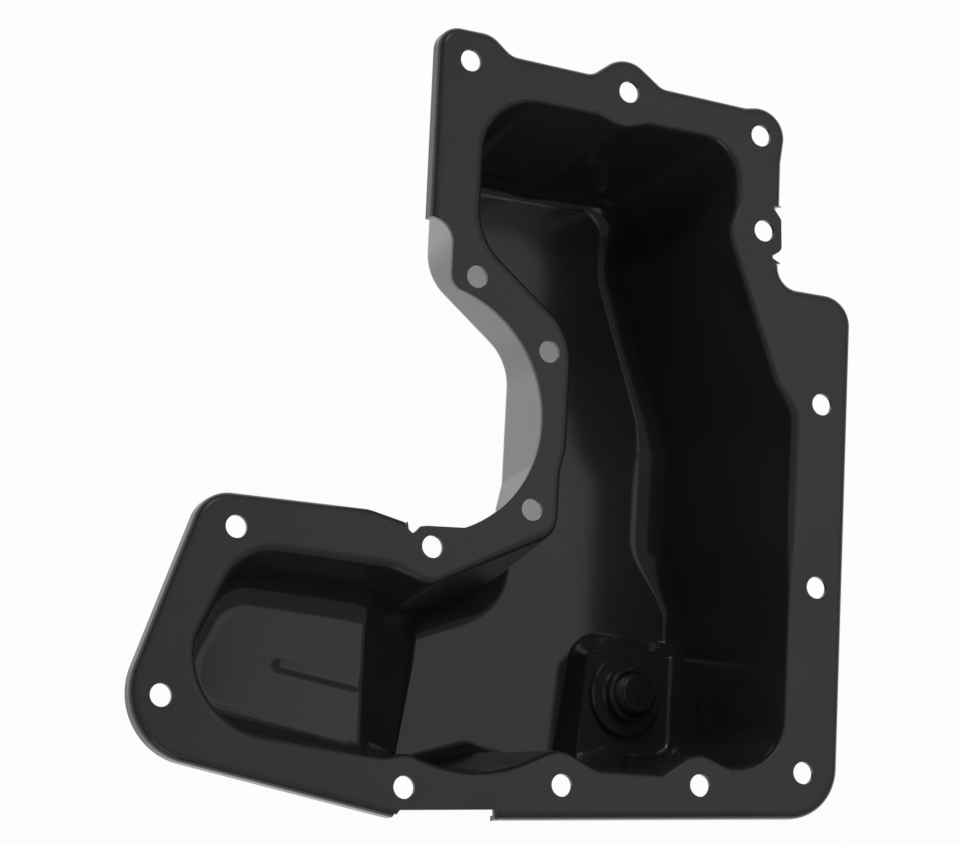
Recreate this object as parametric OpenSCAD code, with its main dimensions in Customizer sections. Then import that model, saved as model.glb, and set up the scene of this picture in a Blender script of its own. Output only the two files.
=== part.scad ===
// Engine oil pan: a deep-drawn steel lower pan with its drain plug.
// Millimetres. Z points up out of the opening and z = 0 is the flange's mating face.
// The origin is the centre of the round bay in the flange, and the long right edge runs along Y.

/* [Overall] */
// Overall width, from the arm's end to the long right edge
pan_width = 235.1; // [228.1:1:250.1]
// Overall length, from the arm's lower corner to the top edge
pan_length = 248.1; // [245.1:1:265.1]

/* [Sheet] */
// Thickness of the pressed sheet
sheet_t = 1.5; // [1:0.1:2]
// Radius of the rolled rim where the flange turns down into the bowl
rim_r = 3.2; // [2.6:0.2:4.6]
// Radius between the walls and the floor
floor_r = 9; // [6:0.5:10]

/* [Bowl] */
// Depth of the sump floor below the mating face
sump_depth = 76; // [65:1:90]
// Depth of the shallow arm's floor below the mating face
arm_depth = 31; // [24:1:38]
// How far the foot of a plain wall stands in from its rim
wall_in = 10.5; // [8:0.5:12]
// Where the ramp leaves the arm's floor, along X
ramp_top_x = -4; // [-8:1:0]
// Where the ramp reaches the sump's floor, along X
ramp_foot_x = 30; // [24:1:32]
// Bend radius at both ends of the ramp
ramp_bend_r = 9; // [6:1:11]

/* [Flange] */
// Diameter of the bolt holes
bolt_hole_d = 7; // [6:0.1:8]
// Radius of the round bay
bay_r = 39.1; // [37:0.1:40]
// Height of the turned-down lip, from the mating face
lip_h = 6; // [5:0.5:8]
// Outside radius of the lip's bend
lip_bend_r = 2.6; // [2.2:0.1:3]

/* [Arm bead] */
// Radius of the stiffening bead's round section
bead_r = 4; // [3:0.5:5]
// How far the bead stands above the arm's floor
bead_rise = 1.3; // [1:0.1:1.5]
// Length of the bead between its end centres
bead_len = 24; // [16:1:26]

/* [Drain platform] */
// Slope of the drain platform, falling towards the right wall
platform_tilt = 11; // [8:0.5:13]
// Height of the platform above the sump floor at the plug
platform_rise = 8.6; // [8:0.2:10]
// Corner radius of the platform in plan
platform_corner_r = 11; // [9:1:14]

/* [Drain nut] */
// Outside diameter of the weld nut's flange
nut_flange_d = 27; // [25:0.5:28]
// Thickness of the weld nut's flange
nut_flange_t = 2.2; // [1.8:0.1:2.8]
// Outside diameter of the nut's collar
nut_collar_d = 18; // [17.5:0.5:20]
// Overall height of the nut
nut_h = 6; // [5:0.5:8]

/* [Drain plug] */
// Nominal diameter of the plug's thread
thread_d = 14; // [12:0.5:15]
// Pitch of the plug's thread; the plug's end is chamfered to just past its root
thread_pitch = 1.5; // [1:0.25:2]
// How far the plug's end stands out of the nut
plug_out = 3.2; // [1:0.2:4]
// Size across the flats of the plug's hexagon
hex_af = 17; // [15:1:18]
// Height of the hexagon under its flange
hex_h = 3.9; // [3:0.1:4.2]
// Diameter of the plug's flange
plug_flange_d = 19; // [18:0.5:20]
// Thickness of the plug's flange
plug_flange_t = 1.4; // [1:0.1:1.5]
// Outside diameter of the sealing washer
washer_d = 20; // [19:0.5:22]
// Thickness of the sealing washer
washer_t = 1.2; // [1:0.1:1.4]

/* [Hidden] */

paint = [0.07, 0.07, 0.075];
zinc = [0.62, 0.60, 0.52];
copper = [0.72, 0.45, 0.30];

// What lies left of the first line moves with the arm's end, what lies above the second
// moves with the top edge, and the rim beside the bay moves with the bay's radius
arm_end_x = -25;
top_part_y = 48;
wider = pan_width - 235.1;
longer = pan_length - 248.1;
bay_more = bay_r - 39.1;
function across(x) = x < arm_end_x ? x - wider : x;
function along(y) = y > top_part_y ? y + longer : y;
function placed(rows) = [for (row = rows)
    [for (k = [0:len(row) - 1]) k == 0 ? across(row[0]) : k == 1 ? along(row[1]) : row[k]]];

// Bolt holes, clockwise from the top left; the last four follow the round bay
bolts = placed([
    [9.7, 111.4], [64.4, 109.6], [111.5, 102.3], [113.7, 71.2],
    [136.2, 17.2], [136.1, -42], [133.3, -101.1], [97.6, -108.1],
    [50.7, -112.1], [-1.2, -117.2], [-79.7, -96.7], [-59.1, -44],
    [4.4, -43.2], [36.9, -28.1], [40.5, 22.2], [15.1, 42.7]
]);

corner_step = 13;
bend_steps = 4;
platform_steps = 7;
arm_line = -30;
slope_angle = atan2(sump_depth, wall_in);
rim_run = rim_r * tan(slope_angle / 2);
floor_run = floor_r * tan(slope_angle / 2);
thread_clear = 0.15;
hole_clear = 0.5;

// Drain axis: where it meets the platform, and its direction up into the pan
drain_at = [101.4, -72.6, platform_rise - sump_depth];
drain_tilt = [0, platform_tilt, 0];
fall = tan(platform_tilt);

// The platform's two free sides, outer edge at the floor and inner edge at the top
step_x = [80.6, 84.6];
step_lean = [4.3, 2.2];
step_y = [-51.2, -58.4];
step_curve = [[0, 0], [0.2, 0.1], [0.5, 0.5], [0.8, 0.9], [1, 1]];
step_shift = 0.8;

// Where the rim runs beside the platform, and where the arm's bead starts
right_rim_x = 126;
lower_rim_y = -105.7;
bead_at = [-31.5, -79.7];
bead_turn = -8;

function unit(v) = v / norm(v);
function turn_of(u, v) = atan2(u[0] * v[1] - u[1] * v[0], u * v);
function right_of(a) = [sin(a), -cos(a)];

// Steps that a corner's turn is drawn in
function steps_in(before, at, after) =
    max(1, ceil(abs(turn_of(at - before, after - at)) / corner_step));

// One corner of an outline, rounded with radius r: points and inward normals
function corner(before, at, after, r, n) =
    let (
        u = unit(at - before),
        v = unit(after - at),
        a0 = atan2(u[1], u[0]),
        turn = turn_of(u, v),
        side = turn < 0 ? 1 : -1,
        start = at - u * r * tan(abs(turn) / 2)
    )
    r == 0
        ? [[at, right_of(a0), right_of(atan2(v[1], v[0]))]]
        : [for (i = [0:n])
            let (normal = right_of(a0 + turn * i / n))
            [start + side * r * (right_of(a0) - normal), normal, normal]];

function xy(row) = [row[0], row[1]];
function wrap(rows, i) = rows[(i + len(rows)) % len(rows)];

// Rim of the opening, clockwise: x, y, corner radius, how far the wall's foot moves in
// X and Y, how much of the platform's height it stands on, and the foot's own radius
function platform_rows_right(skin) = [for (s = step_curve)
    [right_rim_x, step_y[0] + s[0] * (step_y[1] - step_y[0]) - skin * step_shift, 0, -4, 0, s[1]]];
function platform_rows_bottom(skin) = [for (k = [len(step_curve) - 1:-1:0])
    let (s = step_curve[k])
    [step_x[0] + s[0] * (step_x[1] - step_x[0]) + skin * step_shift, lower_rim_y, 0, 0, 8, s[1]]];
function rim_rows(skin) = concat(
    placed([
        [15.6 + 0.3 * bay_more, 55.4 + bay_more, 12, 13.3, 4.1, 0, 8],
        [15.6, 101.8, 14, 13.3, -7, 0, 9],
        [54.5, 100.3, 8, 0, -6.2, 0],
        [62.8, 97.3, 10, 0, -4.4, 0],
        [72, 99.8, 8, 0, -6.2, 0],
        [104, 98.6, 13, -8, -5.6, 0, 12],
        [103.8, 78.5, 9, -8, 0, 0],
        [101, 69.3, 11, -6.5, -1, 0],
        [119.6, 22.6, 10, -7.8, -1.4, 0, 20],
        [126.4, 13.8, 9, -12, -3, 0, 14]
    ]),
    [for (t = [0:0.2:1])
        [126.1, -19 - 27 * t, 0, -12 + 8 * t * t * (3 - 2 * t), 0, 0]],
    platform_rows_right(skin),
    placed([
        [125.8, -101.2, 16, -4, 8.2, 1, 9],
        [107.5, -101.4, 8, 0, 8, 1],
        [96.5, -97.4, 9, 0, 6.5, 1],
        [87.6, -104.7, 3, 0, 8, 1]
    ]),
    platform_rows_bottom(skin),
    placed([
        [63, -106.3, 9, 0, 7.8, 0],
        [50, -100.6, 9, 0, 6.5, 0],
        [42.4, -105.5, 6, 0, 7.5, 0],
        [24, -110.8, 14, 0, 8.2, 0],
        [8.5, -110.9, 8, 0, 8, 0],
        [0, -106.7, 8, 0, 6.5, 0],
        [-8, -108.6, 10, 0, 7.5, 0],
        [-68.5, -103.9, 20, 11, 11.5, 0, 10],
        [-69.9, -79, 14, 11, -2, 0, 12],
        [-56.4, -49.6, 11, 8, -12, 0, 8],
        [-9, -50.9, 10, 0, -12.5, 0],
        [4.6, -55.2, 8, 0, -9.5, 0],
        [39, -37.7, 0, 0, -12, 0],
        [46.1, -34.1, 8, 9.5, -9, 0, 17],
        [46.3, -15.5, 10, 10.5, 0, 0],
        [48.1, -7, 10, 10.5, 0, 0],
        [48.4 + 0.9 * bay_more, 28.9 + 0.5 * bay_more, 10, 10.5, 6.2, 0, 16]
    ])
);

function move_of(row) = [row[3], row[4]];
function foot_of(row) = xy(row) + move_of(row);

// The rim as points: position, the foot's movement, platform share, inward normal
function rim_points(skin) =
    let (rows = rim_rows(skin))
    [for (i = [0:len(rows) - 1])
        let (
            row = rows[i],
            before = wrap(rows, i - 1),
            after = wrap(rows, i + 1),
            n = steps_in(xy(before), xy(row), xy(after)),
            rim = corner(xy(before), xy(row), xy(after), row[2], n),
            foot = row[6] == undef
                ? [for (c = rim) [c[0] + move_of(row)]]
                : corner(foot_of(before), foot_of(row), foot_of(after), row[6], n)
        )
        for (k = [0:len(rim) - 1])
            [rim[k][0], foot[k][0] - rim[k][0], row[5], unit(rim[k][1] + rim[k][2])]];

// Side view of the ramp between the arm's floor and the sump's floor, as [x, depth]
function ramp_line(skin) =
    let (
        top = [ramp_top_x, arm_depth],
        foot = [ramp_foot_x, sump_depth],
        angle = atan2(foot[1] - top[1], foot[0] - top[0]),
        run = ramp_bend_r * tan(angle / 2),
        top_centre = [top[0] - run, top[1] + ramp_bend_r],
        foot_centre = [foot[0] + run, foot[1] - ramp_bend_r]
    )
    concat(
        [for (i = [0:bend_steps])
            let (a = angle * i / bend_steps)
            top_centre + (ramp_bend_r - skin) * [sin(a), -cos(a)]],
        [for (i = [bend_steps:-1:0])
            let (a = angle * i / bend_steps)
            foot_centre + (ramp_bend_r + skin) * [-sin(a), cos(a)]]
    );

function on_arm(p) = p[1] < arm_line;

// The rim with a point wherever it crosses a bend line of the ramp
function split_rim(pts, stations) =
    [for (i = [0:len(pts) - 1])
        let (
            a = pts[i],
            b = wrap(pts, i + 1),
            dx = b[0][0] - a[0][0],
            inside = [for (s = stations)
                if ((s[0] - a[0][0]) * (b[0][0] - s[0]) > 0.001 && on_arm(a[0]) && on_arm(b[0])) s[0]],
            n = len(inside)
        )
        for (k = [0:n])
            k == 0
                ? a
                : let (t = (inside[dx > 0 ? k - 1 : n - k] - a[0][0]) / dx)
                    [for (j = [0:3]) a[j] + t * (b[j] - a[j])]];

// Depth of the platform's plane below the mating face, at x
function platform_depth(x) = -drain_at[2] + fall * (x - drain_at[0]);

// Depth reached by the wall under one rim point, without the sheet's own thickness
function depth_under(p, line, skin) =
    let (
        x = p[0][0],
        lean = p[1][0],
        on_plane = platform_depth(x + lean * floor_run / wall_in) / (1 - fall * lean / sump_depth)
    )
    on_arm(p[0]) && x < line[len(line) - 1][0]
        ? lookup(x, line) - skin
        : (1 - p[2]) * sump_depth + p[2] * on_plane;

// Side view of a wall's wet face from the flange down to the floor, as [inward, z, slope]
function wall_line(depth) =
    let (
        foot = wall_in * depth / sump_depth,
        rim = [-rim_run, -rim_r],
        cove = [foot + floor_run, floor_r - depth]
    )
    concat(
        [for (i = [0:bend_steps])
            let (a = slope_angle * i / bend_steps)
            concat(rim + rim_r * [sin(a), cos(a)], a)],
        [for (i = [bend_steps:-1:0])
            let (a = slope_angle * i / bend_steps)
            concat(cove - floor_r * [sin(a), cos(a)], a)]
    );

// One point of a wall: rim point p, its place w on the side view, and the skin's thickness
function wall_point(p, w, skin) =
    concat(p[0] + p[1] * w[0] / wall_in - p[3] * skin * sin(w[2]), w[1] - skin * cos(w[2]));

// Points along one contour of the platform's side, from the bottom wall to the right wall
function step_contour(s, skin) =
    let (
        edge = step_x + step_lean,
        x = edge[0] + s[0] * (edge[1] - edge[0]) + skin * step_shift,
        y = step_y[0] + s[0] * (step_y[1] - step_y[0]) - skin * step_shift,
        centre = [edge[0] + platform_corner_r, step_y[0] - platform_corner_r]
    )
    [for (i = [0:platform_steps])
        let (
            a = 90 * i / platform_steps,
            px = centre[0] - (centre[0] - x) * cos(a),
            py = centre[1] + (y - centre[1]) * sin(a),
            depth = (1 - s[1]) * sump_depth + s[1] * platform_depth(px)
        )
        [px, py, -depth - skin]];

// Solid inside one face of the sheet: skin 0 is the wet inside, skin sheet_t the outside
module bowl(skin, top) {
    line = ramp_line(skin);
    pts = split_rim(rim_points(skin), line);
    count = len(pts);
    walls = [for (p = pts) wall_line(depth_under(p, line, skin))];
    levels = len(walls[0]);
    lid = [for (i = [0:count - 1])
        concat(pts[i][0] + pts[i][1] * walls[i][0][0] / wall_in, top)];
    sides = [for (j = [0:levels - 1])
        for (i = [0:count - 1]) wall_point(pts[i], walls[i][j], skin)];
    steps = len(step_curve);
    contours = [for (s = step_curve) step_contour(s, skin)];
    per_contour = len(contours[0]);
    floor_at = levels * count;
    step_at = floor_at + count;
    bend_first = line[0][0];
    bend_last = line[len(line) - 1][0];
    // Rim points that carry the ends of the platform's contours
    right_first = min([for (i = [0:count - 1]) if (pts[i][0][0] == right_rim_x && pts[i][0][1] < arm_line - 15) i]);
    bottom_last = max([for (i = [0:count - 1]) if (pts[i][0][1] == lower_rim_y) i]);
    function ring(m) = concat(
        [floor_at + bottom_last - m],
        [for (k = [0:per_contour - 1]) step_at + m * per_contour + k],
        [floor_at + right_first + m]
    );
    function flip(list) = [for (i = [len(list) - 1:-1:0]) list[i]];
    function between(x0, x1) = concat(
        [for (i = [0:count - 1])
            if (on_arm(pts[i][0]) && pts[i][3][1] > 0
                && pts[i][0][0] > x0 - 0.001 && pts[i][0][0] < x1 + 0.001) floor_at + i],
        [for (i = [0:count - 1])
            if (on_arm(pts[i][0]) && pts[i][3][1] < 0
                && pts[i][0][0] > x0 - 0.001 && pts[i][0][0] < x1 + 0.001) floor_at + i]
    );
    arm_floor = [for (i = [0:count - 1])
        if (on_arm(pts[i][0]) && pts[i][0][0] < bend_first + 0.001) floor_at + i];
    sump_floor = concat(
        [for (i = [0:right_first - 1]) floor_at + i],
        flip(ring(0)),
        [for (i = [bottom_last + 1:count - 1])
            if (!(on_arm(pts[i][0]) && pts[i][0][0] < bend_last - 0.001)) floor_at + i]
    );
    platform_floor = concat(
        [for (i = [right_first + steps:bottom_last - steps]) floor_at + i],
        ring(steps - 1)
    );
    polyhedron(
        points = concat(lid, sides, [for (c = contours) for (p = c) p]),
        faces = concat(
            [[for (i = [0:count - 1]) i]],
            [for (j = [0:levels - 1])
                for (i = [0:count - 1])
                    let (next = (i + 1) % count)
                    for (f = [0, 1])
                        f == 0
                            ? [j * count + next, j * count + i, (j + 1) * count + i]
                            : [j * count + next, (j + 1) * count + i, (j + 1) * count + next]],
            [for (m = [0:steps - 2])
                let (
                    near = ring(m),
                    far = ring(m + 1)
                )
                for (k = [0:len(near) - 2])
                    for (f = [0, 1])
                        f == 0
                            ? [near[k], far[k], far[k + 1]]
                            : [near[k], far[k + 1], near[k + 1]]],
            [for (k = [0:len(line) - 2]) flip(between(line[k][0], line[k + 1][0]))],
            [flip(arm_floor), flip(sump_floor), flip(platform_floor)]
        ),
        convexity = 8
    );
}

// Flange edge, clockwise: x, y, corner radius, and 1 where the edge carries the lip
top_lip = [
    [-0.8, 60, 0, 1], [-0.8, 122.1, 7, 1], [17, 121.4, 9, 1], [24.1, 115.5, 7, 1],
    [52.2, 113.9, 6, 1], [63.6, 122.4, 9.6, 1], [76.5, 113, 6, 1],
    [106.4, 111.2, 7, 1], [121.9, 113.7, 9.5, 1], [119.6, 94.4, 8, 1], [119.7, 80.3, 0, 1]
];
side_ear = [
    [119.7, 79.9, 0, 0], [117, 79.7, 0, 0], [117, 78.9, 0, 0], [119.6, 75.6, 2, 0],
    [120.1, 65.6, 2.5, 0], [116.9, 63.4, 0, 0], [117, 62.6, 0, 0], [119.8, 61.2, 0, 0]
];
right_lip = [
    [119.8, 60.8, 0, 1], [119.8, 53.8, 7, 1], [146.2, 53.2, 9.5, 1],
    [145.7, -114.3, 17, 1], [29.9, -124.3, 0, 1]
];
bottom_gap = [
    [29.5, -124.5, 0, 0], [28.7, -124, 0, 0], [28.5, -121.4, 0, 0],
    [-2.2, -124.1, 0, 0], [-3.2, -125.5, 0, 0]
];
arm_lip = [
    [-3.9, -126.3, 0, 1], [-6.9, -125.9, 6, 1], [-96.1, -112, 21, 1],
    [-69.1, -33.6, 12, 1], [-16.2, -33.6, 15, 1], [-4.5, -36.2, 0, 1]
];
bay_edge = concat(
    [
        [-4.2, -36.4, 0, 0], [-3.7, -38.8, 0, 0], [-2.4, -39.8, 0, 0],
        [-1.2, -39, 0, 0], [0.2, -37.4, 0, 0], [2.2, -37, 0, 0]
    ],
    [for (a = [-68:8:76]) [bay_r * cos(a), bay_r * sin(a), 0, 0]],
    [[6.5, 40.6 + bay_more, 3, 0], [6.6, 59.6, 5, 0], [-0.8, 59.6, 0, 0]]
);

// Where there is no lip, the space under the flange runs out past its edge along these points
past_ear = [[127.7, 81, 0, 0], [127.8, 60.1, 0, 0]];
past_gap = [[31.2, -132.3, 0, 0], [-5.6, -134.2, 0, 0]];
past_bay = [[-3.5, -28.4, 0, 0], [0, 0, 0, 0], [0, 50, 0, 0], [-8.8, 60.8, 0, 0]];

function edge_points(rows) =
    [for (i = [0:len(rows) - 1])
        let (
            row = rows[i],
            next = wrap(rows, i + 1)
        )
        for (c = corner(
            xy(wrap(rows, i - 1)), xy(row), xy(next), row[2],
            steps_in(xy(wrap(rows, i - 1)), xy(row), xy(next))
        ))
            [c[0], next[3] == 1 ? c[2] : c[1], row[3]]];

// Solid between two levels of an outline, stepping in by [inset, z] on its lipped stretches
module edge_loft(rows, line) {
    pts = edge_points(rows);
    count = len(pts);
    levels = len(line);
    polyhedron(
        points = [for (l = line)
            for (p = pts) concat(p[0] + p[1] * p[2] * l[0], l[1])],
        faces = concat(
            [[for (i = [0:count - 1]) i]],
            [for (j = [0:levels - 2])
                for (i = [0:count - 1])
                    let (next = (i + 1) % count)
                    for (f = [0, 1])
                        f == 0
                            ? [j * count + next, j * count + i, (j + 1) * count + i]
                            : [j * count + next, (j + 1) * count + i, (j + 1) * count + next]],
            [[for (i = [count - 1:-1:0]) (levels - 1) * count + i]]
        ),
        convexity = 8
    );
}

function bend_line(r, skin, bottom) = concat(
    [for (i = [0:bend_steps])
        let (a = 90 * i / bend_steps)
        [r - (r - skin) * sin(a), (r - skin) * cos(a) - r]],
    [[skin, bottom]]
);

// Flat flange with its turned-down lip; the lip stops at the relief notches
module flange() difference() {
    edge_loft(
        placed(concat(top_lip, side_ear, right_lip, bottom_gap, arm_lip, bay_edge)),
        bend_line(lip_bend_r, 0, -lip_h)
    );
    edge_loft(
        placed(concat(top_lip, past_ear, right_lip, past_gap, arm_lip, past_bay)),
        bend_line(lip_bend_r, sheet_t, -lip_h - 1)
    );
}

// Stiffening bead along the arm's floor, parallel to the arm's lower edge
module bead(r) {
    translate(concat(bead_at, bead_rise - bead_r - arm_depth)) rotate([0, 0, bead_turn]) hull() {
        sphere(r, $fn = 24);
        translate([bead_len, 0, 0]) sphere(r, $fn = 24);
    }
}

// Everything on the drain's axis is drawn upright and then set on the platform
module on_drain() {
    translate(drain_at) rotate(drain_tilt) children();
}

// The pressed sheet before it is pierced; resize keeps its two skins as one mesh
module pressing() {
    resize([0, 0, 0]) difference() {
        union() {
            flange();
            bowl(sheet_t, -sheet_t / 2);
        }
        difference() {
            bowl(0, 1);
            bead(bead_r);
        }
        bead(bead_r - sheet_t);
    }
}

module pan_shell() color(paint) {
    difference() {
        pressing();
        for (b = bolts)
            translate([b[0], b[1], -2 * sheet_t]) cylinder(h = 3 * sheet_t, d = bolt_hole_d, $fn = 48);
        on_drain() translate([0, 0, -4 * sheet_t])
            cylinder(h = 8 * sheet_t, d = thread_d + 2 * hole_clear, $fn = 48);
    }
}

// Round weld nut, seated on the platform inside the pan
module drain_nut() color(paint) {
    bore_r = thread_d / 2 + thread_clear;
    flange_r = nut_flange_d / 2;
    collar_r = nut_collar_d / 2;
    nose = 0.6;
    mark_r = (flange_r + collar_r) / 2;
    on_drain() difference() {
        rotate_extrude($fn = 96) polygon([
            [bore_r, 0], [flange_r, 0], [flange_r, nut_flange_t - nose], [flange_r - nose, nut_flange_t],
            [collar_r + nose, nut_flange_t], [collar_r, nut_flange_t + nose], [collar_r, nut_h - nose],
            [collar_r - nose, nut_h], [bore_r + nose, nut_h], [bore_r, nut_h - nose]
        ]);
        for (a = [0:90:270])
            rotate([0, 0, a]) translate([mark_r, 0, nut_flange_t - 0.4]) cylinder(h = 1, d = 2, $fn = 24);
    }
}

// Drain plug: hexagon and flange outside, threaded shank up through the pan and the nut
module drain_plug() color(zinc) {
    seat = -sheet_t - washer_t;
    thread_r = thread_d / 2;
    tip = nut_h + plug_out;
    chamfer = 2 / 3 * thread_pitch;
    on_drain() union() {
        rotate_extrude($fn = 96) polygon([
            [0, seat], [thread_r, seat], [thread_r, tip - chamfer], [thread_r - chamfer, tip], [0, tip]
        ]);
        translate([0, 0, seat - plug_flange_t]) cylinder(h = plug_flange_t, d = plug_flange_d, $fn = 96);
        intersection() {
            translate([0, 0, seat - plug_flange_t - hex_h])
                cylinder(h = hex_h + plug_flange_t / 2, d = hex_af / cos(30), $fn = 6);
            translate([0, 0, seat - plug_flange_t - hex_h])
                cylinder(h = 20, r1 = hex_af / 2, r2 = hex_af / 2 + 20 * tan(60), $fn = 96);
        }
    }
}

// Sealing washer between the plug's flange and the outside of the pan
module plug_washer() color(copper) {
    on_drain() translate([0, 0, -sheet_t - washer_t]) difference() {
        cylinder(h = washer_t, d = washer_d, $fn = 96);
        translate([0, 0, -1]) cylinder(h = washer_t + 2, d = thread_d + 2 * thread_clear, $fn = 96);
    }
}

pan_shell();
drain_nut();
drain_plug();
plug_washer();
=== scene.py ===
"""Engine oil pan: looks, camera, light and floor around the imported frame."""

import math

import bmesh
import bpy
from mathutils import Matrix, Vector
from mathutils.geometry import delaunay_2d_cdt


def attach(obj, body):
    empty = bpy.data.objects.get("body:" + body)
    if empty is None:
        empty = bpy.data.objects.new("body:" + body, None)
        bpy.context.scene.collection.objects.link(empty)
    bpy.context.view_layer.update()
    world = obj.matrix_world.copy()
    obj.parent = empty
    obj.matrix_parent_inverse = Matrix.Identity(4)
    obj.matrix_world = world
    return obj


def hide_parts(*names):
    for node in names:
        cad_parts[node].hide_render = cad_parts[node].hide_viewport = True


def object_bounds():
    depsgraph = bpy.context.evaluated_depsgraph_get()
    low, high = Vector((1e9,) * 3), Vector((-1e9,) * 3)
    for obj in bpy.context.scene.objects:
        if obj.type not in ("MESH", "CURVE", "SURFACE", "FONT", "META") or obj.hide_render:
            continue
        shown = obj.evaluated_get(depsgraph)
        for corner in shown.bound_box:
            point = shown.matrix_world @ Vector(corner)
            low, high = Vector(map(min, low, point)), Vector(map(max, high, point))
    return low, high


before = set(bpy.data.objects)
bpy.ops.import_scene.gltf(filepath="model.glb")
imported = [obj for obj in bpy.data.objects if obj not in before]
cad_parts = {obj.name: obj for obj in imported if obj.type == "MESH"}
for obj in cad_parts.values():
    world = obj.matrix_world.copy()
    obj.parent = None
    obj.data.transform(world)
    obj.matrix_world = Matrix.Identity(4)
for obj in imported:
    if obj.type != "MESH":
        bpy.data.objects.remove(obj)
cad_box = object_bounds()
scene = bpy.context.scene
MM = 0.001

# Camera: place, and directions to its right, up and back, in the part's frame
CAM_AT = Vector((-478.1, -261.7, 1173.4)) * MM
CAM_RIGHT = Vector((0.91661, 0.04403, 0.39734))
CAM_UP = Vector((-0.11886, 0.97899, 0.16571))
CAM_BACK = Vector((-0.38169, -0.19912, 0.90259))
FOCAL_PX = 4230.0
IMAGE_W = 960.0
SENSOR = 36.0


def make_camera():
    data = bpy.data.cameras.new("camera")
    data.sensor_fit = "HORIZONTAL"
    data.sensor_width = SENSOR
    data.lens = FOCAL_PX * SENSOR / IMAGE_W
    data.clip_start = 0.05
    data.clip_end = 20.0
    cam = bpy.data.objects.new("camera", data)
    scene.collection.objects.link(cam)
    rows = [(CAM_RIGHT[i], CAM_UP[i], CAM_BACK[i], CAM_AT[i]) for i in range(3)]
    cam.matrix_world = Matrix(rows + [(0.0, 0.0, 0.0, 1.0)])
    scene.camera = cam


# Materials

def new_material(name):
    mat = bpy.data.materials.new(name)
    mat.use_nodes = True
    tree = mat.node_tree
    shader = tree.nodes["Principled BSDF"]
    return mat, tree, shader


def noise(tree, coords, scale, detail=3.0, roughness=0.55):
    node = tree.nodes.new("ShaderNodeTexNoise")
    node.inputs["Scale"].default_value = scale
    node.inputs["Detail"].default_value = detail
    node.inputs["Roughness"].default_value = roughness
    tree.links.new(coords, node.inputs["Vector"])
    return node.outputs["Fac"]


def remap(tree, value, low, high, from_low=0.3, from_high=0.7):
    node = tree.nodes.new("ShaderNodeMapRange")
    node.inputs["From Min"].default_value = from_low
    node.inputs["From Max"].default_value = from_high
    node.inputs["To Min"].default_value = low
    node.inputs["To Max"].default_value = high
    tree.links.new(value, node.inputs["Value"])
    return node.outputs["Result"]


# Heights between which the coat turns from the bowl's gloss to the flange's satin, and from the bowl's
# colour to the flange's lighter colour, which is painted light
FLANGE_FADE = (-0.0006, -0.0001)

# Input sockets of the two sides and the output socket of a Mix node, by its data type
MIX_SOCKETS = {"FLOAT": (2, 3, 0), "RGBA": (6, 7, 2)}


def mix(tree, kind, factor, a, b):
    node = tree.nodes.new("ShaderNodeMix")
    node.data_type = kind
    first, second, result = MIX_SOCKETS[kind]
    tree.links.new(factor, node.inputs[0])
    for index, value in ((first, a), (second, b)):
        if isinstance(value, tuple):
            node.inputs[index].default_value = value
        else:
            tree.links.new(value, node.inputs[index])
    return node.outputs[result]


def bump(tree, height, strength, distance):
    node = tree.nodes.new("ShaderNodeBump")
    node.inputs["Strength"].default_value = strength
    node.inputs["Distance"].default_value = distance
    tree.links.new(height, node.inputs["Height"])
    return node.outputs["Normal"]


def grey(value, blue=0.001):
    return (value, value, value + blue, 1.0)


def enamel():
    """Black baked coat on pressed steel: satin on the flange, glossier in the bowl; the flange's
    lighter colour is painted light.
    """
    mat, tree, shader = new_material("black_coat")
    coords = tree.nodes.new("ShaderNodeTexCoord").outputs["Object"]
    place = tree.nodes.new("ShaderNodeSeparateXYZ")
    tree.links.new(coords, place.inputs["Vector"])
    on_top = remap(tree, place.outputs["Z"], 0.0, 1.0, *FLANGE_FADE)

    mottle = noise(tree, coords, 26.0, 4.0)
    grain = noise(tree, coords, 900.0, 2.0)
    peel = noise(tree, coords, 160.0, 2.0)
    patches = remap(tree, mottle, 0.0, 1.0)
    bowl_color = mix(tree, "RGBA", patches, grey(0.030), grey(0.036))
    # Painted light: the flange's top face gets a lighter copy of the coat's colour
    flange_painted_light_color = mix(tree, "RGBA", patches, grey(0.047), grey(0.056))
    tree.links.new(mix(tree, "RGBA", on_top, bowl_color, flange_painted_light_color), shader.inputs["Base Color"])
    gloss = remap(tree, mottle, 0.13, 0.17)
    satin = remap(tree, grain, 0.38, 0.46)
    tree.links.new(mix(tree, "FLOAT", on_top, gloss, satin), shader.inputs["Roughness"])
    surface = mix(tree, "FLOAT", on_top, peel, grain)
    tree.links.new(bump(tree, surface, 0.06, 0.0004), shader.inputs["Normal"])
    return mat


def dark_steel():
    """Plug and thread: blackened turned steel with faint lathe rings."""
    mat, tree, shader = new_material("dark_steel")
    coords = tree.nodes.new("ShaderNodeTexCoord").outputs["Object"]
    mottle = noise(tree, coords, 320.0, 3.0)
    fine = noise(tree, coords, 2600.0, 2.0)
    patches = remap(tree, mottle, 0.0, 1.0)
    color = mix(tree, "RGBA", patches, grey(0.020), (0.036, 0.035, 0.034, 1.0))
    tree.links.new(color, shader.inputs["Base Color"])
    tree.links.new(remap(tree, fine, 0.30, 0.45), shader.inputs["Roughness"])
    shader.inputs["Metallic"].default_value = 0.4
    tree.links.new(bump(tree, fine, 0.08, 0.0002), shader.inputs["Normal"])
    return mat


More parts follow.
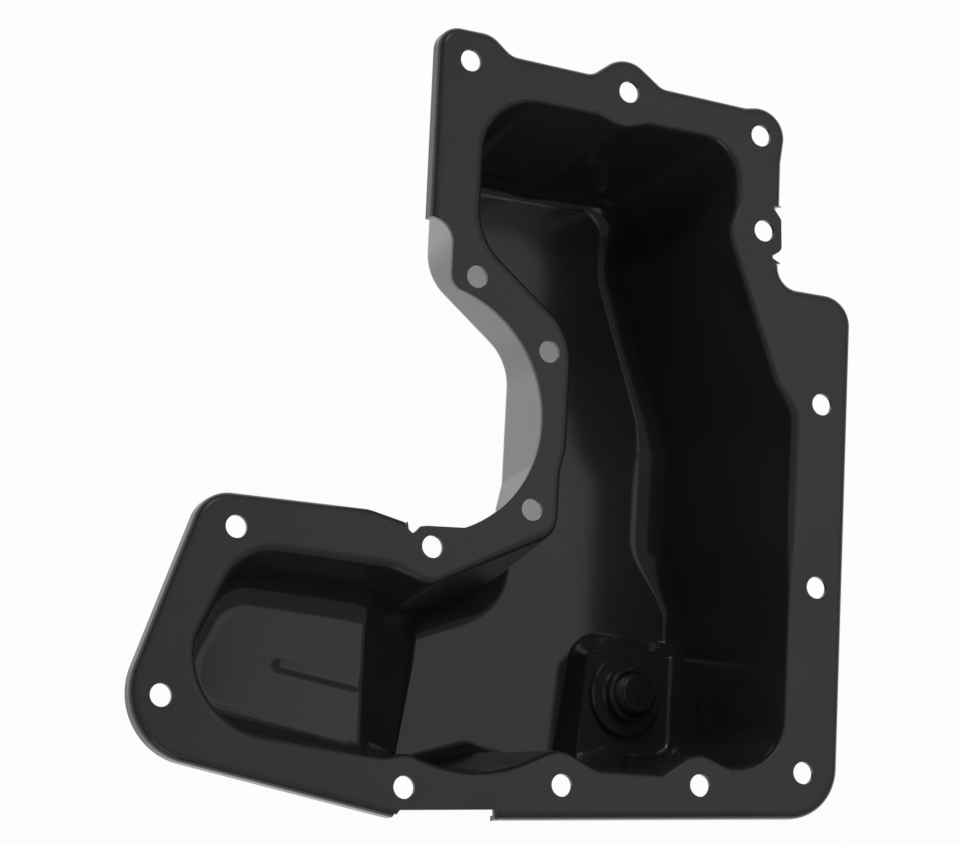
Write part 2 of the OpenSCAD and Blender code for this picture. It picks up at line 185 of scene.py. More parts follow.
def soft_metal():
    """Sealing washer: plain soft aluminium, brushed by handling."""
    mat, tree, shader = new_material("soft_metal")
    coords = tree.nodes.new("ShaderNodeTexCoord").outputs["Object"]
    scratch = noise(tree, coords, 1400.0, 4.0)
    patches = remap(tree, scratch, 0.0, 1.0)
    color = mix(tree, "RGBA", patches, grey(0.55, 0.0), (0.70, 0.70, 0.71, 1.0))
    tree.links.new(color, shader.inputs["Base Color"])
    tree.links.new(remap(tree, scratch, 0.28, 0.42), shader.inputs["Roughness"])
    shader.inputs["Metallic"].default_value = 1.0
    return mat


def dress(obj, mat):
    obj.data.materials.clear()
    obj.data.materials.append(mat)


# The pan's sheet, in millimetres: rows of points round the opening's rim, lofted down to the floors

SHEET = 1.5
# Rolled rim, floor cove, depths of sump and arm, and a wall's lean over the sump's whole depth
RIM_R = 3.2
FLOOR_R = 9.0
SUMP = 76.0
ARM = 31.0
WALL_IN = 10.5
SLOPE = math.atan2(SUMP, WALL_IN)
RIM_RUN = RIM_R * math.tan(SLOPE / 2)
FLOOR_RUN = FLOOR_R * math.tan(SLOPE / 2)

# Ramp between the two floors, in side view, and the line below which the rim belongs to the arm
RAMP_TOP = (-4.0, ARM)
RAMP_FOOT = (30.0, SUMP)
RAMP_BEND = 3.5
ARM_LINE = -30.0

# Flange: its turned-down lip, bolt holes and circular bay
LIP_H = 6.0
LIP_BEND = 2.6
HOLE_R = 3.5
BAY_R = 39.1

# Stiffening bead in the arm's floor: start, direction, size, and the grid of points around it
BEAD_AT = (-31.5, -79.7)
BEAD_TURN = math.radians(-8.0)
BEAD_LEN = 25.0
BEAD_RISE = 0.35
BEAD_HALF = 3.0
BEAD_SPAN = (-35.4, -2.2, 0.7)
BEAD_REACH = 4.4
BEAD_STEP = 0.4

# Drain platform: a tilted plane that runs into two walls, with a rounded step along its other two sides
TILT = math.radians(11.0)
FALL = math.tan(TILT)
DRAIN_AT = Vector((101.4, -72.6, 8.6 - SUMP))
DRAIN_AXIS = Vector((math.sin(TILT), 0, math.cos(TILT)))
DRAIN_HOLE_R = 7.5
STEP_X = (80.6, 84.6)
STEP_Y = (-51.2, -58.4)
STEP_LEAN = (4.3, 2.2)
STEP_SHIFT = 0.8
PLATFORM_R = 11.0

# Fineness of the mesh
TINY = 0.001
CORNER_STEP = math.radians(4.0)
BEND_STEPS = 9
STEP_ROWS = 12
CONTOUR_STEPS = 18
HOLE_STEPS = 64
DRAIN_STEPS = 72
SAME_WAY = 0.9995

BOLTS = [
    (9.7, 111.4), (64.4, 109.6), (111.5, 102.3), (113.7, 71.2),
    (136.2, 17.2), (136.1, -42.0), (133.3, -101.1), (97.6, -108.1),
    (50.7, -112.1), (-1.2, -117.2), (-79.7, -96.7), (-59.1, -44.0),
    (4.4, -43.2), (36.9, -28.1), (40.5, 22.2), (15.1, 42.7),
]

# The flange's outline in stretches, clockwise: x, y, corner radius, and 1 where the edge has a lip
TOP_LIP = [
    (-0.8, 60, 0, 1), (-0.8, 122.1, 7, 1), (17, 121.4, 9, 1), (24.1, 115.5, 7, 1),
    (52.2, 113.9, 6, 1), (63.6, 122.4, 9.6, 1), (76.5, 113, 6, 1),
    (106.4, 111.2, 7, 1), (121.9, 113.7, 9.5, 1), (119.6, 94.4, 8, 1), (119.7, 80.3, 0, 1),
]
SIDE_EAR = [
    (119.7, 79.9, 0, 0), (117, 79.7, 0, 0), (117, 78.9, 0, 0), (119.6, 75.6, 2, 0),
    (120.1, 65.6, 2.5, 0), (116.9, 63.4, 0, 0), (117, 62.6, 0, 0), (119.8, 61.2, 0, 0),
]
RIGHT_LIP = [
    (119.8, 60.8, 0, 1), (119.8, 53.8, 7, 1), (146.2, 53.2, 9.5, 1),
    (145.7, -114.3, 17, 1), (29.9, -124.3, 0, 1),
]
BOTTOM_GAP = [
    (29.5, -124.5, 0, 0), (28.7, -124, 0, 0), (28.5, -121.4, 0, 0),
    (-2.2, -124.1, 0, 0), (-3.2, -125.5, 0, 0),
]
ARM_LIP = [
    (-3.9, -126.3, 0, 1), (-6.9, -125.9, 6, 1), (-96.1, -112, 21, 1),
    (-69.1, -33.6, 12, 1), (-16.2, -33.6, 15, 1), (-4.5, -36.2, 0, 1),
]
BAY_EDGE = [
    (-4.2, -36.4, 0, 0), (-3.7, -38.8, 0, 0), (-2.4, -39.8, 0, 0),
    (-1.2, -39, 0, 0), (0.2, -37.4, 0, 0), (2.2, -37, 0, 0),
] + [
    (BAY_R * math.cos(math.radians(a)), BAY_R * math.sin(math.radians(a)), 0, 0)
    for a in range(-68, 77, 3)
] + [(6.5, 40.6, 5.5, 0), (6.6, 59.6, 7, 0), (-0.8, 59.6, 0, 0)]


def flat(v):
    return Vector((v[0], v[1]))


def turn_of(u, v):
    return math.atan2(u.x * v.y - u.y * v.x, u.dot(v))


def right_of(angle):
    return Vector((math.sin(angle), -math.cos(angle)))


def ease(t):
    return t * t * (3.0 - 2.0 * t)


def between(ends, s):
    return ends[0] + s * (ends[1] - ends[0])


def steps_in(before, at, after):
    return max(1, math.ceil(abs(turn_of(at - before, after - at)) / CORNER_STEP))


def corner(before, at, after, r, n):
    """One corner of an outline rounded with radius r: (place, normal in, normal out)."""
    u = (at - before).normalized()
    v = (after - at).normalized()
    a0 = math.atan2(u.y, u.x)
    if r == 0:
        return [(at, right_of(a0), right_of(math.atan2(v.y, v.x)))]
    turn = turn_of(u, v)
    side = 1.0 if turn < 0 else -1.0
    start = at - u * r * math.tan(abs(turn) / 2)
    out = []
    for i in range(n + 1):
        normal = right_of(a0 + turn * i / n)
        out.append((start + (right_of(a0) - normal) * (side * r), normal, normal))
    return out


def rim_rows(skin):
    """Rim of the opening, clockwise.

    A row is x, y, corner radius, the foot's move in x and y, the drain platform's share of the depth,
    and where needed the foot's own corner radius and a tag.
    """
    rows = [
        (15.6, 55.4, 20, 13.3, 4.1, 0, 15), (15.6, 101.8, 18, 13.3, -7, 0, 12),
        (54.5, 100.3, 8, 0, -6.2, 0, 30), (62.8, 97.3, 10, 0, -4.4, 0, 30),
        (72, 99.8, 8, 0, -6.2, 0, 30), (104, 98.6, 13, -8, -5.6, 0, 10),
        (103.8, 78.5, 9, -8, 0, 0, 25), (101, 69.3, 11, -6.5, -1, 0, 20),
        (119.6, 22.6, 10, -7.8, -1.4, 0, 20), (126.4, 13.8, 9, -12, -3, 0, 14),
    ]
    for k in range(STEP_ROWS + 1):
        rows.append((126.1, -19 - 27 * k / STEP_ROWS, 0, -12 + 8 * ease(k / STEP_ROWS), 0, 0))
    for k in range(STEP_ROWS + 1):
        s = k / STEP_ROWS
        y = between(STEP_Y, s) - skin * STEP_SHIFT
        rows.append((126, y, 0, -4, 0, ease(s), None, "right"))
    rows += [
        (125.8, -101.2, 16.8, -4, 8.2, 1, 9), (107.5, -101.4, 8, 0, 8, 1),
        (96.5, -97.4, 9, 0, 6.5, 1), (86.6, -104.2, 4, 0, 8, 1),
    ]
    for k in range(STEP_ROWS, -1, -1):
        s = k / STEP_ROWS
        x = between(STEP_X, s) + skin * STEP_SHIFT
        rows.append((x, -105.7, 0, 0, 8, ease(s), None, "bottom"))
    rows += [
        (63, -106.3, 9, 0, 7.8, 0), (50, -100.6, 9, 0, 6.5, 0),
        (21.5, -114.4, 46, 0, 8.9, 0, 40), (0, -106.7, 8, 0, 6.5, 0),
        (-8, -108.6, 10, 0, 7.5, 0), (-68.5, -103.9, 24, 11, 11.5, 0, 9),
        (-69.9, -79, 14, 11, -2, 0, 12), (-56.4, -49.6, 18, 8, -12, 0, 12),
        (-9, -50.9, 10, 0, -12.5, 0), (4.6, -55.2, 8, 0, -9.5, 0), (39, -37.7, 0, 0, -12, 0),
        (46.1, -34.1, 8, 9.5, -9, 0, 17), (46.3, -15.5, 10, 10.5, 0, 0),
        (48.1, -7, 10, 10.5, 0, 0), (48.4, 28.9, 20, 10.5, 6.2, 0, 20),
    ]
    return [r + (None,) * (8 - len(r)) for r in rows]


def rim_points(skin):
    """(place, foot's move, platform share, inward normal, tag) round the rim."""
    rows = rim_rows(skin)
    count = len(rows)
    out = []
    for i, row in enumerate(rows):
        before, after = rows[i - 1], rows[(i + 1) % count]
        n = steps_in(flat(before), flat(row), flat(after))
        rim = corner(flat(before), flat(row), flat(after), row[2], n)
        move = Vector(row[3:5])
        if row[6] is None:
            foot = [c[0] + move for c in rim]
        else:
            feet = [flat(r) + Vector(r[3:5]) for r in (before, row, after)]
            foot = [c[0] for c in corner(*feet, row[6], n)]
        for c, f in zip(rim, foot):
            out.append((c[0], f - c[0], row[5], (c[1] + c[2]).normalized(), row[7]))
    return out


def ramp_line(skin):
    """Side view of the ramp as (x, depth, slope angle)."""
    angle = math.atan2(RAMP_FOOT[1] - RAMP_TOP[1], RAMP_FOOT[0] - RAMP_TOP[0])
    run = RAMP_BEND * math.tan(angle / 2)
    top = (RAMP_TOP[0] - run, RAMP_TOP[1] + RAMP_BEND)
    foot = (RAMP_FOOT[0] + run, RAMP_FOOT[1] - RAMP_BEND)
    turns = [angle * i / BEND_STEPS for i in range(BEND_STEPS + 1)]
    line = []
    for a in turns:
        r = RAMP_BEND - skin
        line.append((top[0] + r * math.sin(a), top[1] - r * math.cos(a), a))
    for a in turns[::-1]:
        r = RAMP_BEND + skin
        line.append((foot[0] - r * math.sin(a), foot[1] + r * math.cos(a), a))
    return line


def lookup(x, line, column=1):
    if x <= line[0][0]:
        return line[0][column]
    for p, q in zip(line, line[1:]):
        if x <= q[0]:
            return p[column] + (q[column] - p[column]) * (x - p[0]) / (q[0] - p[0])
    return line[-1][column]


def frange(low, high, step):
    return [low + step * i for i in range(int((high - low) / step) + 1)]


def bead_height(p):
    """How far the stiffening bead lifts the arm's floor."""
    along = Vector((math.cos(BEAD_TURN), math.sin(BEAD_TURN)))
    rel = Vector((p[0] - BEAD_AT[0], p[1] - BEAD_AT[1]))
    d = (rel - along * min(max(rel.dot(along), 0.0), BEAD_LEN)).length
    return BEAD_RISE * math.cos(math.pi / 2 * min(d / BEAD_HALF, 1.0)) ** 2


def on_arm(p):
    return p[0].y < ARM_LINE


def split_rim(pts, line):
    """The rim with a point wherever it crosses a bend line of the ramp."""
    out = []
    for i, a in enumerate(pts):
        b = pts[(i + 1) % len(pts)]
        out.append(a)
        dx = b[0].x - a[0].x
        if not (on_arm(a) and on_arm(b)):
            continue
        crossed = [s[0] for s in line if (s[0] - a[0].x) * (b[0].x - s[0]) > TINY]
        for x in (crossed if dx > 0 else crossed[::-1]):
            t = (x - a[0].x) / dx
            share = a[2] + t * (b[2] - a[2])
            out.append((a[0].lerp(b[0], t), a[1].lerp(b[1], t), share, a[3].lerp(b[3], t), None))
    return out


def platform_depth(x):
    return -DRAIN_AT.z + FALL * (x - DRAIN_AT.x)


def depth_under(p, line, skin):
    x, lean = p[0].x, p[1].x
    if on_arm(p) and x < line[-1][0]:
        return lookup(x, line) - skin
    plane = platform_depth(x + lean * FLOOR_RUN / WALL_IN) / (1 - FALL * lean / SUMP)
    return (1 - p[2]) * SUMP + p[2] * plane


def wall_line(depth):
    """Side view of a wall's wet face from the flange down to the floor, as (inward, z, slope)."""
    foot = WALL_IN * depth / SUMP + FLOOR_RUN
    turns = [SLOPE * i / BEND_STEPS for i in range(BEND_STEPS + 1)]
    out = [(RIM_R * math.sin(a) - RIM_RUN, RIM_R * math.cos(a) - RIM_R, a) for a in turns]
    for a in turns[::-1]:
        out.append((foot - FLOOR_R * math.sin(a), FLOOR_R - depth - FLOOR_R * math.cos(a), a))
    return out


def nearest(pts, p):
    return min(range(len(pts)), key=lambda i: (pts[i] - p).length_squared)


def inside(p, loop):
    """Whether a point lies inside a closed outline."""
    hit = False
    for a, b in zip(loop, loop[1:] + loop[:1]):
        if (a.y > p.y) != (b.y > p.y) and p.x < a.x + (b.x - a.x) * (p.y - a.y) / (b.y - a.y):
            hit = not hit
    return hit


class Skin:
    """Collects faces with a normal at each corner, sharing equal points."""

    def __init__(self):
        self.index = {}
        self.points = []
        self.faces = []
        self.normals = []

    def vertex(self, p):
        key = (round(p[0], 4), round(p[1], 4), round(p[2], 4))
        if key not in self.index:
            self.index[key] = len(self.points)
            self.points.append(Vector(p))
        return self.index[key]

    def face(self, pts, normals):
        ids, kept = [], []
        for p, n in zip(pts, normals):
            i = self.vertex(p)
            if i not in ids:
                ids.append(i)
                kept.append(Vector(n).normalized())
        if len(ids) < 3:
            return
        self.faces.append(ids)
        self.normals.extend(kept)

    def quad(self, pts, normals):
        """Four corners in order; wound so that the face looks along its normals."""
        way = sum((Vector(n) for n in normals), Vector())
        if (pts[2] - pts[0]).cross(pts[3] - pts[1]).dot(way) < 0:
            pts, normals = pts[::-1], normals[::-1]
        self.face(pts, normals)

    def fill(self, loops, normal_at, lines=(), spots=()):
        """Flat or gently sloping region inside the first loop and outside the others, from above."""
        pts, edges = [], []
        for loop in loops:
            first = len(pts)
            pts += [Vector(p) for p in loop]
            edges += [(i, i + 1) for i in range(first, len(pts) - 1)]
            edges.append((len(pts) - 1, first))
        edges += [tuple(pair) for pair in lines]
        pts += [Vector(p) for p in spots]
        flat_pts = [flat(p) for p in pts]
        holes = [[flat(p) for p in loop] for loop in loops[1:]]
        result = delaunay_2d_cdt(flat_pts, edges, [], 1, 1e-6)
        source = [
            origin[0] if origin else nearest(flat_pts, p) for p, origin in zip(result[0], result[3])
        ]
        for tri in result[2]:
            ids = [source[i] for i in tri]
            a, b, c = (flat_pts[i] for i in ids)
            if any(inside((a + b + c) / 3, hole) for hole in holes):
                continue
            if (b - a).x * (c - a).y < (b - a).y * (c - a).x:
                ids.reverse()
            normals = [Vector(normal_at(pts[i])) for i in ids]
            if normals[0].z < 0:
                ids.reverse()
                normals.reverse()
            self.face([pts[i] for i in ids], normals)

    def object(self, name):
        """The mesh object; an edge is sharp where the normals of its two faces differ along it."""
        mesh = bpy.data.meshes.new(name)
        mesh.from_pydata([p * MM for p in self.points], [], self.faces)
        mesh.polygons.foreach_set("use_smooth", [True] * len(mesh.polygons))
        uses = {}
        start = 0
        for ids in self.faces:
            for i, a in enumerate(ids):
                k = (i + 1) % len(ids)
                ends = {a: self.normals[start + i], ids[k]: self.normals[start + k]}
                uses.setdefault((min(a, ids[k]), max(a, ids[k])), []).append(ends)
            start += len(ids)
        for edge in mesh.edges:
            sides = uses[tuple(sorted(edge.vertices))]
            edge.use_edge_sharp = any(
                one[v].dot(two[v]) < SAME_WAY
                for one, two in zip(sides, sides[1:])
                for v in edge.vertices
            )
        mesh.normals_split_custom_set(self.normals)
        obj = bpy.data.objects.new(name, mesh)
        scene.collection.objects.link(obj)
        return obj


def bowl_face(skin_mesh, skin):
    """One face of the bowl: skin 0 is the wet inside, SHEET the dry outside.

    Returns its loop at the rim and its loop round the drain hole.
    """
    side = 1.0 if skin == 0 else -1.0
    line = ramp_line(skin)
    pts = split_rim(rim_points(skin), line)
    count = len(pts)
    walls = [wall_line(depth_under(p, line, skin)) for p in pts]
    levels = len(walls[0])
    grid = []
    for j in range(levels):
        ring = []
        for p, wall in zip(pts, walls):
            w, z, a = wall[j]
            at = p[0] + p[1] * (w / WALL_IN) - p[3] * (skin * math.sin(a))
            ring.append(Vector((at.x, at.y, z - skin * math.cos(a))))
        grid.append(ring)
    normals = []
    for j in range(levels):
        ring = []
        for i, p in enumerate(pts):
            a = walls[i][j][2]
            along = grid[j][(i + 1) % count] - grid[j][i - 1]
            run = math.cos(a) / WALL_IN
            n = Vector((p[1].x * run, p[1].y * run, -math.sin(a))).cross(along)
            ring.append(n.normalized() * side if n.length > 1e-9 else Vector((0, 0, side)))
        normals.append(ring)
    for j in range(levels - 1):
        for i in range(count):
            k = (i + 1) % count
            cells = ((j, i), (j, k), (j + 1, k), (j + 1, i))
            skin_mesh.quad([grid[a][b] for a, b in cells], [normals[a][b] for a, b in cells])
    last = grid[-1]

    right = [i for i, p in enumerate(pts) if p[4] == "right"]
    bottom = [i for i, p in enumerate(pts) if p[4] == "bottom"][::-1]
    contours = []
    for m in range(STEP_ROWS + 1):
        s = m / STEP_ROWS
        share = ease(s)
        edge = (STEP_X[0] + STEP_LEAN[0], STEP_X[1] + STEP_LEAN[1])
        x = between(edge, s) + skin * STEP_SHIFT
        y = between(STEP_Y, s) - skin * STEP_SHIFT
        centre = (edge[0] + PLATFORM_R, STEP_Y[0] - PLATFORM_R)
        row = [last[bottom[m]]]
        for i in range(CONTOUR_STEPS + 1):
            a = math.pi / 2 * i / CONTOUR_STEPS
            px = centre[0] - (centre[0] - x) * math.cos(a)
            py = centre[1] + (y - centre[1]) * math.sin(a)
            depth = (1 - share) * SUMP + share * platform_depth(px)
            row.append(Vector((px, py, -depth - skin)))
        row.append(last[right[m]])
        contours.append(row)
    width = len(contours[0])

    def step_normal(m, k):
        a, b = contours[max(m - 1, 0)][k], contours[min(m + 1, STEP_ROWS)][k]
        c, d = contours[m][max(k - 1, 0)], contours[m][min(k + 1, width - 1)]
        n = (b - a).cross(d - c)
        if n.z < 0:
            n = -n
        return n.normalized() * side

    for m in range(STEP_ROWS):
        for k in range(width - 1):
            cells = ((m, k), (m, k + 1), (m + 1, k + 1), (m + 1, k))
            places = [contours[a][b] for a, b in cells]
            skin_mesh.quad(places, [step_normal(a, b) for a, b in cells])

    up = Vector((0, 0, side))
    foot_x = line[-1][0]
    sump = [last[i] for i in range(right[0])] + contours[0][::-1]
    for i in range(bottom[0] + 1, count):
        if not on_arm(pts[i]) or pts[i][0].x >= foot_x - TINY:
            sump.append(last[i])
    skin_mesh.fill([sump], lambda p: up)

    tilted = DRAIN_AXIS * side
    across = Vector((math.cos(TILT), 0, -math.sin(TILT)))
    centre = DRAIN_AT - DRAIN_AXIS * (skin * math.cos(TILT))
    hole = []
    for i in range(DRAIN_STEPS):
        a = 2 * math.pi * i / DRAIN_STEPS
        u, v = DRAIN_HOLE_R * math.cos(a), DRAIN_HOLE_R * math.sin(a)
        hole.append(centre + across * u + Vector((0, 1, 0)) * v)
    platform = [last[i] for i in range(right[-1], bottom[-1] + 1)] + contours[-1][1:-1]
    skin_mesh.fill([platform, hole], lambda p: tilted)

    ids = [i for i in range(count) if on_arm(pts[i]) and pts[i][0].x < foot_x + TINY]
    lines = [[k for k, i in enumerate(ids) if abs(pts[i][0].x - s[0]) < TINY] for s in line]
    spots = []
    for x in sorted({s[0] for s in line if s[0] < BEAD_SPAN[1]} | set(frange(*BEAD_SPAN))):
        middle = BEAD_AT[1] + (x - BEAD_AT[0]) * math.tan(BEAD_TURN)
        for y in frange(middle - BEAD_REACH, middle + BEAD_REACH, BEAD_STEP):
            spots.append(Vector((x, y, bead_height((x, y)) - lookup(x, line))))

    def floor_normal(p):
        fall = math.tan(lookup(p[0], line, 2))
        x, y, h = p[0], p[1], 0.01
        dx = (bead_height((x + h, y)) - bead_height((x - h, y))) / (2 * h)
        dy = (bead_height((x, y + h)) - bead_height((x, y - h))) / (2 * h)
        return Vector((fall - dx, -dy, 1)).normalized() * side

    skin_mesh.fill([[last[i] for i in ids]], floor_normal, lines, spots)
    return grid[0], hole


def edge_points(rows):
    """(place, outward normal, lip or not) round an outline; rows are x, y, radius and 1 for a lip."""
    out = []
    for i, row in enumerate(rows):
        before, after = rows[i - 1], rows[(i + 1) % len(rows)]
        n = steps_in(flat(before), flat(row), flat(after))
        for c in corner(flat(before), flat(row), flat(after), row[2], n):
            out.append((c[0], c[2] if after[3] == 1 else c[1], row[3]))
    return out


def at_level(p, z):
    return Vector((p[0], p[1], z))


def lip_profile():
    """Cross-section of the lip, from the plate's top over the edge and back: (outward, z, normal)."""
    turns = [math.pi / 2 * i / BEND_STEPS for i in range(BEND_STEPS + 1)]
    inner = LIP_BEND - SHEET
    out = []
    for a in turns:
        u, v = math.sin(a), math.cos(a)
        out.append((LIP_BEND - LIP_BEND * u, LIP_BEND * v - LIP_BEND, (-u, v)))
    out += [(0.0, -LIP_H, (-1.0, 0.0)), (0.0, -LIP_H, (0.0, -1.0))]
    out += [(SHEET, -LIP_H, (0.0, -1.0)), (SHEET, -LIP_H, (1.0, 0.0))]
    for a in turns[::-1]:
        u, v = math.sin(a), math.cos(a)
        out.append((LIP_BEND - inner * u, inner * v - LIP_BEND, (u, -v)))
    return out


def sheet_edge(skin_mesh, p, q, normals):
    """The sheet's cut edge between two places on its top face."""
    corners = [at_level(p, 0), at_level(q, 0), at_level(q, -SHEET), at_level(p, -SHEET)]
    skin_mesh.quad(corners, normals)


def lip_strip(skin_mesh, profile, a, b):
    """The turned-down lip between two neighbouring points of the edge."""
    for u, v in zip(profile, profile[1:]):
        if u[:2] == v[:2]:
            continue
        spots, turned = [], []
        for e, s in ((a, u), (b, u), (b, v), (a, v)):
            spots.append(at_level(e[0] + e[1] * s[0], s[1]))
            turned.append(Vector((e[1].x * s[2][0], e[1].y * s[2][0], s[2][1])))
        skin_mesh.quad(spots, turned)


def lip_end(skin_mesh, profile, e, away):
    """The flat face that closes the lip where it stops."""
    cap = []
    for s in profile:
        p = at_level(e[0] + e[1] * s[0], s[1])
        if not cap or (p - cap[-1]).length > 1e-6:
            cap.append(p)
    area = sum((cap[j - 1].cross(cap[j]) for j in range(len(cap))), Vector())
    if area.dot(away) < 0:
        cap = cap[::-1]
    skin_mesh.face(cap, [away] * len(cap))


def flange(skin_mesh, top_ring, under_ring):
    edge = edge_points(TOP_LIP + SIDE_EAR + RIGHT_LIP + BOTTOM_GAP + ARM_LIP + BAY_EDGE)
    plate = [e[0] + e[1] * (LIP_BEND * e[2]) for e in edge]
    angles = [2 * math.pi * i / HOLE_STEPS for i in range(HOLE_STEPS)]
    circles = [[Vector(b) + Vector((math.cos(a), math.sin(a))) * HOLE_R for a in angles] for b in BOLTS]
    for z, ring, side in ((0.0, top_ring, 1.0), (-SHEET, under_ring, -1.0)):
        loops = [[at_level(p, z) for p in outline] for outline in [plate] + circles]
        loops.insert(1, ring)
        skin_mesh.fill(loops, lambda p: Vector((0, 0, side)))
    for b, circle in zip(BOLTS, circles):
        for i, p in enumerate(circle):
            q = circle[(i + 1) % HOLE_STEPS]
            n, m = ((at_level(b, 0) - at_level(v, 0)).normalized() for v in (p, q))
            sheet_edge(skin_mesh, p, q, [n, m, m, n])

    profile = lip_profile()
    for i, a in enumerate(edge):
        k = (i + 1) % len(edge)
        b = edge[k]
        run = plate[k] - plate[i]
        if a[2] and b[2]:
            lip_strip(skin_mesh, profile, a, b)
        elif run.length > 1e-6:
            sheet_edge(skin_mesh, plate[i], plate[k], [Vector((-run.y, run.x, 0)).normalized()] * 4)
        if a[2] and not b[2]:
            lip_end(skin_mesh, profile, a, Vector((a[1].y, -a[1].x, 0)))
        elif b[2] and not a[2]:
            lip_end(skin_mesh, profile, b, Vector((-b[1].y, b[1].x, 0)))


def pan_skin():
    skin_mesh = Skin()
    top_ring, hole_top = bowl_face(skin_mesh, 0.0)
    under_ring, hole_under = bowl_face(skin_mesh, SHEET)
    flange(skin_mesh, top_ring, under_ring)
    for i in range(DRAIN_STEPS):
        k = (i + 1) % DRAIN_STEPS
        spots = [hole_top[i], hole_top[k], hole_under[k], hole_under[i]]
        rays = [DRAIN_AT - p for p in spots]
        skin_mesh.quad(spots, [(r - DRAIN_AXIS * r.dot(DRAIN_AXIS)).normalized() for r in rays])
    return skin_mesh


# The drain plug, in millimetres, with heights along the drain's axis
PLUG_LOW = -8.0
PLUG_SEAT = -2.7
PLUG_TIP = 9.2
PLUG_CHAMFER = 1.1
SHANK_R = 7.0
HEX_HALF = 8.5
THREAD_PITCH = 1.5
THREAD_DEPTH = 0.9
THREAD_CREST = 0.15
THREAD_FLANKS = 0.75
THREAD_STEPS = 118
TURN_STEPS = 120


def on_drain(r, angle, z):
    """A point near the drain's axis, in metres in the part's frame."""
    x, y = r * math.cos(angle), r * math.sin(angle)
    along, across = math.sin(TILT), math.cos(TILT)
    return (DRAIN_AT + Vector((x * across + z * along, y, z * across - x * along))) * MM


def thread_radius(angle, z):
    """Radius of the threaded shank: flat crests and roots, with a chamfer at the plug's end."""
    share = (z / THREAD_PITCH - angle / (2 * math.pi)) % 1.0
    groove = min(1.0, max(0.0, (abs(share - 0.5) * 2.0 - THREAD_CREST) / THREAD_FLANKS))
    radius = SHANK_R - THREAD_DEPTH * groove
    return min(radius, SHANK_R - max(0.0, z - (PLUG_TIP - PLUG_CHAMFER)))


def hexagon(angle):
    turned = (angle + math.pi / 6) % (math.pi / 3) - math.pi / 6
    return HEX_HALF / math.cos(turned)


def turned_piece(name, rings, sharp):
    """Rings round the drain's axis, joined and closed; each ring gives (radius, z) at an angle."""
    bm = bmesh.new()
    rows = []
    for ring in rings:
        row = []
        for i in range(TURN_STEPS):
            angle = 2 * math.pi * i / TURN_STEPS
            r, z = ring(angle)
            row.append(bm.verts.new(on_drain(r, angle, z)))
        rows.append(row)
    for low, high in zip(rows, rows[1:]):
        for i in range(TURN_STEPS):
            k = (i + 1) % TURN_STEPS
            bm.faces.new((low[i], low[k], high[k], high[i]))
    bm.faces.new(rows[0][::-1])
    bm.faces.new(rows[-1])
    for face in bm.faces:
        face.smooth = True
    for edge in bm.edges:
        edge.smooth = edge.calc_face_angle(0.0) < sharp
    mesh = bpy.data.meshes.new(name)
    bm.to_mesh(mesh)
    bm.free()
    obj = bpy.data.objects.new(name, mesh)
    scene.collection.objects.link(obj)
    return obj


def plug_piece():
    def level(r, z):
        return lambda angle: (r, z)

    def thread(z):
        return lambda angle: (thread_radius(angle, z), z)

    def head_low(inset, up):
        """The hexagon's lower edge, whose corners rise as a turned chamfer leaves them."""
        def at(angle):
            r = hexagon(angle)
            return (r - inset, PLUG_LOW + up + (r - HEX_HALF) / math.tan(math.pi / 3))
        return at

    rings = [
        level(8.1, PLUG_LOW), level(8.4, PLUG_LOW + 0.08), head_low(0.06, 0.1), head_low(0.0, 0.2),
        lambda angle: (hexagon(angle), -4.3),
        lambda angle: (min(hexagon(angle) + 0.2, 9.45), -4.1),
        level(9.46, -4.08), level(9.5, -3.95), level(9.5, -2.85), level(9.4, -2.72),
        level(9.3, PLUG_SEAT), level(SHANK_R, PLUG_SEAT),
    ]
    start = PLUG_SEAT + 0.3
    for i in range(THREAD_STEPS + 1):
        rings.append(thread(start + (PLUG_TIP - start) * i / THREAD_STEPS))
    rings += [level(5.6, PLUG_TIP), level(2.0, PLUG_TIP)]
    return turned_piece("plug_body", rings, math.radians(32.0))


coat = enamel()
steel = dark_steel()
soft = soft_metal()

shell = pan_skin().object("pan_skin")
dress(shell, coat)
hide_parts("pan_shell")
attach(shell, "pan")

plug = plug_piece()
dress(plug, steel)
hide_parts("drain_plug")
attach(plug, "plug")

dress(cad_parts["drain_nut"], coat)
dress(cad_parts["plug_washer"], soft)


# Floor, world and lamps, in metres

# Room under the pan for the plug at its joint's far limit
FLOOR_GAP = 0.034
FLOOR_SIZE = 8.0
# Share of plain white where the floor is looked at or mirrored; the rest keeps the shadow
WHITE_SHARE = 0.97


def math_node(tree, operation, a, b, clamp=False):
    node = tree.nodes.new("ShaderNodeMath")
    node.operation = operation
    node.use_clamp = clamp
    tree.links.new(a, node.inputs[0])
    if isinstance(b, float):
        node.inputs[1].default_value = b
    else:
        tree.links.new(b, node.inputs[1])
    return node.outputs[0]


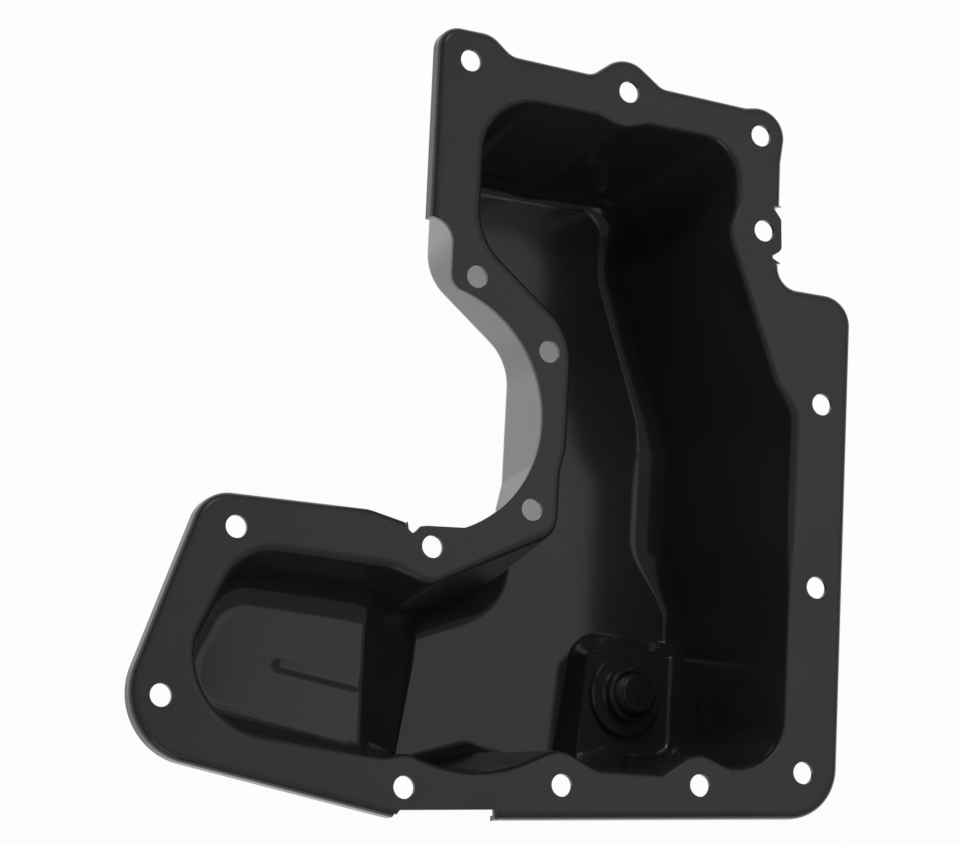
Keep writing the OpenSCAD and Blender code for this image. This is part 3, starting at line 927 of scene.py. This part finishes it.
def make_floor():
    """Pale paper, seen and mirrored mostly as plain white with a faint shadow."""
    level = cad_box[0][2] - FLOOR_GAP
    bpy.ops.mesh.primitive_plane_add(size=FLOOR_SIZE, location=(0.0, 0.0, level))
    floor = bpy.context.object
    floor.name = "floor"
    mat, tree, shader = new_material("floor_paper")
    shader.inputs["Base Color"].default_value = (0.90, 0.90, 0.90, 1.0)
    shader.inputs["Roughness"].default_value = 0.9
    shader.inputs["Specular IOR Level"].default_value = 0.0
    path = tree.nodes.new("ShaderNodeLightPath").outputs
    seen = math_node(tree, "ADD", path["Is Camera Ray"], path["Is Glossy Ray"])
    seen = math_node(tree, "ADD", seen, path["Is Transmission Ray"], clamp=True)
    share = math_node(tree, "MULTIPLY", seen, WHITE_SHARE)
    white = tree.nodes.new("ShaderNodeEmission")
    white.inputs["Strength"].default_value = 1.0
    both = tree.nodes.new("ShaderNodeMixShader")
    tree.links.new(share, both.inputs[0])
    tree.links.new(shader.outputs[0], both.inputs[1])
    tree.links.new(white.outputs[0], both.inputs[2])
    tree.links.new(both.outputs[0], tree.nodes["Material Output"].inputs["Surface"])
    floor.data.materials.append(mat)


def area_lamp(name, at, aim, size, energy):
    """A rectangular lamp that faces aim, of size (width, height), hidden from the camera."""
    data = bpy.data.lights.new(name, "AREA")
    data.shape = "RECTANGLE"
    data.size, data.size_y = size
    data.energy = energy
    lamp = bpy.data.objects.new(name, data)
    lamp.location = Vector(at)
    lamp.visible_camera = False
    lamp.rotation_euler = (Vector(at) - Vector(aim)).to_track_quat("Z", "Y").to_euler()
    scene.collection.objects.link(lamp)


def make_world(strength):
    world = bpy.data.worlds.new("studio")
    world.use_nodes = True
    scene.world = world
    back = world.node_tree.nodes["Background"]
    back.inputs["Color"].default_value = (1.0, 1.0, 1.0, 1.0)
    back.inputs["Strength"].default_value = strength


make_camera()
make_floor()
make_world(0.24)
area_lamp("softbox_narrow", (0.150, 0.010, 0.45), (0.150, 0.010, 0.0), (0.080, 0.24), 0.0370)
area_lamp("softbox_wide", (0.30, 0.095, 0.45), (0.30, 0.095, 0.0), (0.22, 0.43), 0.181)
area_lamp("back_left", (-0.29, 0.95, 0.90), (0.05, -0.03, -0.03), (0.35, 0.35), 2.0)
area_lamp("front", (-0.35, -1.25, 0.65), (0.03, 0.0, -0.03), (0.8, 0.8), 1.2)
scene.view_settings.view_transform = "Standard"
